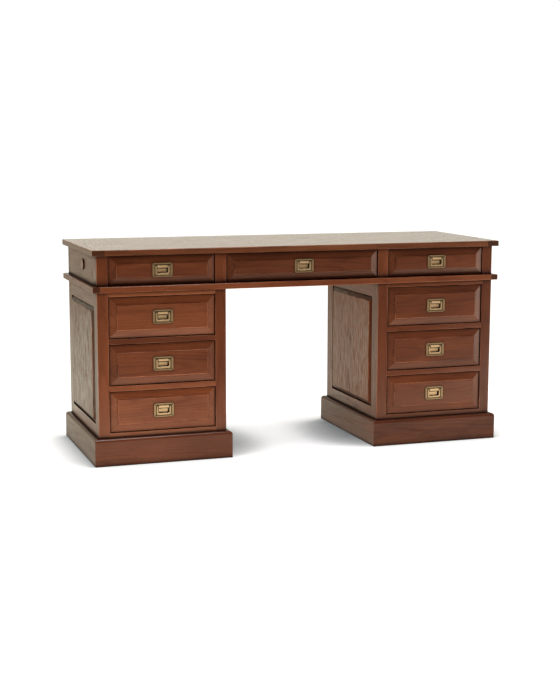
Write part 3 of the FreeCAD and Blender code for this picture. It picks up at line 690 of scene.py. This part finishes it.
def finished(node, slot, arris, segments):
    """A dressed copy of a node that stands for it."""
    mesh = dressed_mesh(node, arris, segments)
    if slot == "brass":
        rub_brass(mesh, node)
    mesh.polygons.foreach_set("use_smooth", [True] * len(mesh.polygons))
    mesh.materials.append(MATERIALS[slot])
    piece = bpy.data.objects.new(node + "_finished", mesh)
    bpy.context.collection.objects.link(piece)
    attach(piece, body_of(node))
    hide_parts(node)
    return piece


def hold_flats(pieces):
    """Weigh normals by area: flats stay flat and the light turns only on the arrises."""
    for piece in pieces:
        weighing = piece.modifiers.new("flats", "WEIGHTED_NORMAL")
        weighing.weight = FLATS_WEIGHT
        weighing.keep_sharp = True
    graph = bpy.context.evaluated_depsgraph_get()
    for piece in pieces:
        mesh = bpy.data.meshes.new_from_object(piece.evaluated_get(graph), preserve_all_data_layers=True,
                                               depsgraph=graph)
        piece.modifiers.clear()
        piece.data = mesh


def dress_all():
    """A finished piece for every node."""
    pieces = []
    for node in ALL_SOLIDS:
        arris = next((a for start, a in ARRISES.items() if node.startswith(start)), BOARD_ARRIS)
        segments = BAIL_SEGMENTS if node.startswith("bail_") else BOARD_SEGMENTS
        pieces.append(finished(node, SLOT[node], arris, segments))
    hold_flats(pieces)


# ---- screws of the handle plates ----

SCREW_X = 0.0318
SCREW_Z = 0.0209
SCREW_RADIUS = 0.0026
SCREW_DOME = 0.0007
SCREW_SLOT_HALF = 0.00048
SCREW_STEPS = 20
# rings of the head, each as shares of the radius and of the dome's height
SCREW_RINGS = ((1.0, 0.0), (0.96, 0.45), (0.75, 0.8), (0.42, 1.0))


def turned(x, y, z, turn):
    """The place turned about Y."""
    return Vector((x * math.cos(turn) - z * math.sin(turn), y, x * math.sin(turn) + z * math.cos(turn)))


def add_screw(bm, place, turn):
    """Low domed head with a slot, its face towards -Y."""
    loops = []
    for share, rise in SCREW_RINGS:
        loop = []
        for i in range(SCREW_STEPS):
            angle = 2 * math.pi * i / SCREW_STEPS
            x = share * SCREW_RADIUS * math.cos(angle)
            z = share * SCREW_RADIUS * math.sin(angle)
            lift = 0.0 if abs(z) < SCREW_SLOT_HALF else rise * SCREW_DOME
            loop.append(bm.verts.new(place + turned(x, -lift, z, turn)))
        loops.append(loop)
    for outer, inner in zip(loops, loops[1:]):
        for i in range(SCREW_STEPS):
            j = (i + 1) % SCREW_STEPS
            bm.faces.new((outer[i], outer[j], inner[j], inner[i]))
    bm.faces.new(loops[-1])


def add_screws():
    """Four screws in the corners of each handle plate, each turned its own way."""
    for node in ALL_SOLIDS:
        if not node.startswith("plate_"):
            continue
        chance = random.Random(node)
        low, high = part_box(node)
        middle = (low + high) / 2
        bm = bmesh.new()
        for x in (-SCREW_X, SCREW_X):
            for z in (-SCREW_Z, SCREW_Z):
                add_screw(bm, Vector((middle.x + x, low.y, middle.z + z)), chance.uniform(0, math.pi))
        bmesh.ops.recalc_face_normals(bm, faces=bm.faces)
        name = node.replace("plate_", "screws_")
        mesh = bpy.data.meshes.new(name)
        bm.to_mesh(mesh)
        bm.free()
        mesh.materials.append(SCREW_BRASS)
        piece = bpy.data.objects.new(name, mesh)
        bpy.context.collection.objects.link(piece)
        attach(piece, body_of(node))


# ---- the room ----

BLACK = (0, 0, 0)
WHITE = (1, 1, 1)
DARK_FRONT = (0.10, 0.10, 0.08)
LEFT_FRONT = (0.72, 0.63, 0.45)
LEFT_BACK = (0.54, 0.485, 0.365)
BACK = (1.02, 1.02, 0.88)
RIGHT = (1.00, 0.98, 0.84)
SCREEN = (3.6, 3.35, 2.9)
SCREEN_EDGE = (2.0, 1.9, 1.65)
# light of the room by the way it lies, in degrees from +Y towards +X
ROOM = ((-180, DARK_FRONT), (-140, DARK_FRONT), (-112, LEFT_FRONT), (-75, LEFT_FRONT), (-50, LEFT_BACK),
        (-4, LEFT_BACK), (4, BACK), (95, RIGHT), (108, SCREEN), (128, SCREEN_EDGE), (140, DARK_FRONT),
        (180, DARK_FRONT))
# a ramp's colours end at 1, so they are divided by this and multiplied again
ROOM_GAIN = 4.0
# upward part of the way at which the ceiling starts and is full, and how dark it is at each
CEILING = (0.15, 0.6, 0.0, 0.7)

LAMP_PLACE = (-0.3, -0.5, 3.0)
LAMP_TARGET = (0, 0, 0.4)
LAMP_WIDTH = 1.6
LAMP_HEIGHT = 0.9
LAMP_WATTS = 45


def room_light(n, east, north):
    """What stands round the desk, by the way it lies: white behind and on the right, a lit screen to the
    right in front, dimmer on the left, and dark in front."""
    turn = n.plus(0.5, n.math("ARCTAN2", east, north), 0.5 / math.pi)
    stops = [((degrees + 180) / 360, tuple(c / ROOM_GAIN for c in colour)) for degrees, colour in ROOM]
    return n.mix(1.0, n.ramp(turn, stops), (ROOM_GAIN,) * 3, "MULTIPLY")


def make_world():
    """The room round the desk, dark overhead, and plain white to the camera."""
    world = bpy.data.worlds.new("world")
    bpy.context.scene.world = world
    world.use_nodes = True
    n = Nodes(world.node_tree)
    way = n.split(n.add("TexCoord").outputs["Generated"])
    room = n.mix(n.span(way["Z"], *CEILING), room_light(n, way["X"], way["Y"]), BLACK)
    path = n.add("LightPath").outputs
    straight = n.largest(path["Is Camera Ray"], path["Is Transmission Ray"])
    shown = n.add("Background", {"Color": n.mix(straight, room, WHITE), "Strength": 1.0})
    n.add("OutputWorld", {"Surface": shown.outputs[0]})


def make_lamp():
    """One soft lamp overhead."""
    data = bpy.data.lights.new("overhead", "AREA")
    data.shape = "RECTANGLE"
    data.size = LAMP_WIDTH
    data.size_y = LAMP_HEIGHT
    data.energy = LAMP_WATTS
    lamp = bpy.data.objects.new("overhead", data)
    lamp.location = LAMP_PLACE
    lamp.rotation_euler = (Vector(LAMP_TARGET) - Vector(LAMP_PLACE)).to_track_quat("-Z", "Y").to_euler()
    bpy.context.collection.objects.link(lamp)


# ---- the floor ----

FLOOR_HALF = 14.0
# its own grey, and what glossy rays add to it
FLOOR_GREY = 0.85
FLOOR_GREY_TO_GLOSS = -0.8

# to the camera: its glow clear of the desk, and within SHADOW_ENDS of the desk's middle its painted shadow
# where closed in and where open
FLOOR_GLOW = (0.92, 0.92, 0.92)
SHADOW_DEEP = (0.09, 0.14, 0.16)
SHADOW_EDGE = (0.90, 0.93, 0.95)
SHADOW_REACH = 0.35
SHADOW_SAMPLES = 8
SHADOW_WHERE = (0.64, 1.0)
SHADOW_ENDS_X = (0.74, 0.95)
SHADOW_ENDS_Y = (0.20, 0.42)

# to the wood: bright near the desk, and as the room is from there to further off, by the distance from
# the desk's middle or by Y in front of it; the room's sides are told from the desk's front
NEAR_FLOOR = (0.97, 0.94, 0.75)
FAR_FLOOR = (2.0, 6.0)
FAR_FLOOR_IN_FRONT = (-0.5, -2.2)
ROOM_MIDDLE_FORWARD = 0.27

# darker to glossy rays within GLOSS_ENDS of the desk's middle: painted shade for the desk's shadow on the
# floor as reflections see it
GLOSS_LOSS = 0.45
GLOSS_ENDS_X = (0.80, 1.25)
GLOSS_ENDS_Y = (0.30, 0.95)

# brighter to diffuse rays, and more so in a pool in front of the left pedestal; the pool's sides, each
# from where it starts to where it is full
DIFFUSE_GAIN = 1.5
POOL_GAIN = 1.95
POOL_RIGHT_X = (0.2, -0.6)
POOL_LEFT_X = (-1.6, -1.0)
POOL_BACK_Y = (-0.25, -0.5)


def outside(n, at, ends_x, ends_y):
    """0 within a rectangle round the desk's middle and 1 outside it, with soft sides."""
    return n.largest(n.span(n.math("ABSOLUTE", at["X"]), *ends_x),
                     n.span(n.math("ABSOLUTE", at["Y"]), *ends_y))


def floor_glow(n, at):
    """The floor's light to the camera: near white, with the desk's soft shadow painted in where the floor
    is closed in.
    """
    open_part = n.span(n.open_air(SHADOW_REACH, SHADOW_SAMPLES), *SHADOW_WHERE)
    under = n.mix(open_part, SHADOW_DEEP, SHADOW_EDGE)
    return n.mix(outside(n, at, SHADOW_ENDS_X, SHADOW_ENDS_Y), under, FLOOR_GLOW)


def floor_to_wood(n, place, at):
    """The floor's light to the wood: bright near the desk, and further off as bright as the room is on
    that side."""
    far = n.largest(n.span(n.length(place), *FAR_FLOOR), n.span(at["Y"], *FAR_FLOOR_IN_FRONT))
    north = n.math("ADD", at["Y"], ROOM_MIDDLE_FORWARD)
    return n.mix(far, NEAR_FLOOR, room_light(n, at["X"], north))


def floor_shader(n):
    """A pale floor with a light of its own for each kind of ray."""
    path = n.add("LightPath").outputs
    place = n.add("TexCoord").outputs["Object"]
    at = n.split(place)
    seen = floor_to_wood(n, place, at)
    away = outside(n, at, GLOSS_ENDS_X, GLOSS_ENDS_Y)
    # painted shade: near the desk, reflections see the floor darker, as in the desk's shadow
    dimmed = n.mix(n.plus(GLOSS_LOSS, away, -GLOSS_LOSS), seen, BLACK)
    pool = n.times(n.span(at["X"], *POOL_RIGHT_X), n.span(at["X"], *POOL_LEFT_X),
                   n.span(at["Y"], *POOL_BACK_Y))
    cast = n.add("VectorMath", {"Vector": seen, "Scale": n.plus(DIFFUSE_GAIN, pool, POOL_GAIN)},
                 operation="SCALE").outputs["Vector"]
    glossy = n.largest(path["Is Glossy Ray"], path["Is Transmission Ray"])
    light = n.mix(path["Is Camera Ray"], BLACK, floor_glow(n, at))
    light = n.mix(glossy, light, dimmed)
    light = n.mix(path["Is Diffuse Ray"], light, cast)
    pale = n.add("BsdfDiffuse", {"Color": n.plus(FLOOR_GREY, glossy, FLOOR_GREY_TO_GLOSS, clamp=True)})
    lit = n.add("Emission", {"Color": light, "Strength": 1.0})
    both = n.add("AddShader")
    n.put(both.inputs[0], pale.outputs[0])
    n.put(both.inputs[1], lit.outputs[0])
    n.add("OutputMaterial", {"Surface": both.outputs[0]})


def make_floor():
    """Wide square floor that the desk stands on."""
    s = FLOOR_HALF
    mesh = bpy.data.meshes.new("floor")
    mesh.from_pydata([(-s, -s, 0), (s, -s, 0), (s, s, 0), (-s, s, 0)], [], [(0, 1, 2, 3)])
    material, n = new_material("floor")
    floor_shader(n)
    mesh.materials.append(material)
    floor = bpy.data.objects.new("floor", mesh)
    bpy.context.collection.objects.link(floor)


# ---- the scene ----

make_camera()
dress_all()
add_screws()
make_floor()
make_world()
make_lamp()
bpy.context.scene.view_settings.view_transform = "Standard"
